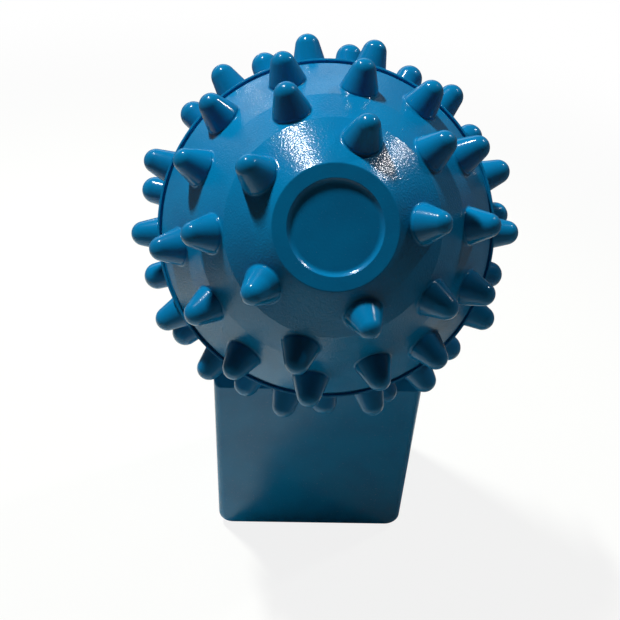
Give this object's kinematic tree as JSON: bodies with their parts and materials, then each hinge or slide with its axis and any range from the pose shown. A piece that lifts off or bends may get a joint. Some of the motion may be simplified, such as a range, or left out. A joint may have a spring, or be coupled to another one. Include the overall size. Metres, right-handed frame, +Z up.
{
  "type": "roller cone drill segment",
  "caption": "Steel leg with an inclined journal carrying one rolling cone set with conical carbide buttons, as welded into a rock drilling head.",
  "frame": {"origin": "middle of the leg's flat foot", "axes": "+Z up the leg, -Y out of the leg's flat front face, the journal leans up and forward in the YZ plane"},
  "size_m": [0.1928, 0.1602, 0.2969],
  "materials": {
    "leg_paint": "glossy sprayed paint",
    "cone_paint": "glossy sprayed paint with orange peel",
    "button_paint": "glossy sprayed paint",
    "fitting_paint": "glossy sprayed paint",
    "plug_steel": "turned",
    "bright_steel": "turned",
    "bearing_steel": "ground",
    "bearing_bronze": "turned",
    "seal_rubber": "matt"
  },
  "bodies": {
    "leg": {"leg": "leg_paint", "ball_plug": "plug_steel", "grease_plug": "fitting_paint", "reservoir_can": "bright_steel", "reservoir_seal": "seal_rubber", "reservoir_diaphragm": "seal_rubber", "reservoir_cap": "fitting_paint", "reservoir_snap_ring": "fitting_paint"},
    "cone": {"cone_shell": "cone_paint", "nose_inserts": "button_paint", "upper_inserts": "button_paint", "middle_inserts": "button_paint", "lower_inserts": "button_paint", "heel_inserts": "button_paint", "gauge_inserts": "button_paint", "pilot_bush": "bearing_bronze", "thrust_washer": "bearing_bronze", "thrust_button": "bearing_steel", "seal_ring": "seal_rubber"},
    "roller_set": {"main_rollers": "bearing_steel"},
    "ball_set": {"retaining_balls": "bearing_steel"}
  },
  "joints": [
    {"name": "cone_spin", "type": "hinge", "parent": "leg", "child": "cone", "pos_m": [0, 0.0043, 0.192], "axis": [0, -0.809, 0.5878], "continuous": true},
    {"name": "roller_orbit", "type": "hinge", "parent": "leg", "child": "roller_set", "pos_m": [0, 0.0043, 0.192], "axis": [0, -0.809, 0.5878], "continuous": true},
    {"name": "ball_orbit", "type": "hinge", "parent": "leg", "child": "ball_set", "pos_m": [0, 0.0043, 0.192], "axis": [0, -0.809, 0.5878], "continuous": true}
  ],
  "couplings": [
    {"joint": "roller_orbit", "follows": "cone_spin", "ratio": 0.5872},
    {"joint": "ball_orbit", "follows": "cone_spin", "ratio": 0.6163}
  ]
}
